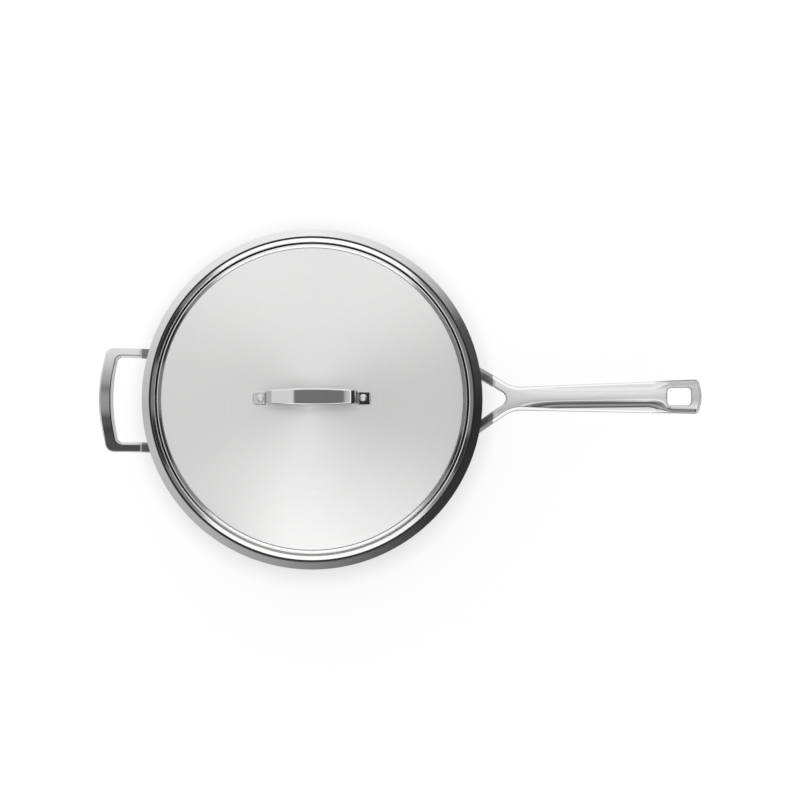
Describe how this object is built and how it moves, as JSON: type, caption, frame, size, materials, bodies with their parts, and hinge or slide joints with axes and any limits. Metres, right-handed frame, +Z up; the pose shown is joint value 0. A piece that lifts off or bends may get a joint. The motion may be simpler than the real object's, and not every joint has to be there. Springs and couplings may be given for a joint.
{
  "type": "saute pan with lid",
  "caption": "Straight-sided steel saute pan with a drooping lip, a forked long handle, a loop helper handle and a lift-off domed lid with an arched strap handle.",
  "frame": {"origin": "centre of the pan's flat underside", "axes": "+Z up, +X towards the tip of the long handle, +Y to the right of a cook who holds the handle and faces the pan from its tip"},
  "size_m": [0.5218, 0.296, 0.1091],
  "materials": {
    "inner_steel": "satin, fine circular brushing",
    "core_aluminium": "bare rolled aluminium, seen only at the lip's cut edge",
    "polished_steel": "bright polished",
    "handle_steel": "bright polished casting",
    "rivet_steel": "polished",
    "lid_steel": "satin dome with circular brushing, polished rings at the edge"
  },
  "bodies": {
    "pan": {"pan_inner_skin": "inner_steel", "pan_aluminium_core": "core_aluminium", "pan_outer_skin": "polished_steel", "long_handle": "handle_steel", "long_handle_rivet_1": "rivet_steel", "long_handle_rivet_2": "rivet_steel", "long_handle_rivet_3": "rivet_steel", "long_handle_rivet_4": "rivet_steel", "helper_handle": "handle_steel", "helper_handle_rivet_1": "rivet_steel", "helper_handle_rivet_2": "rivet_steel"},
    "lid": {"lid_sheet": "lid_steel", "lid_handle": "handle_steel", "lid_rivet_left": "rivet_steel", "lid_rivet_right": "rivet_steel"}
  },
  "joints": [
    {"name": "lid_lift", "type": "slide", "parent": "pan", "child": "lid", "axis": [0, 0, 1], "range_m": [0, 0.15]}
  ]
}
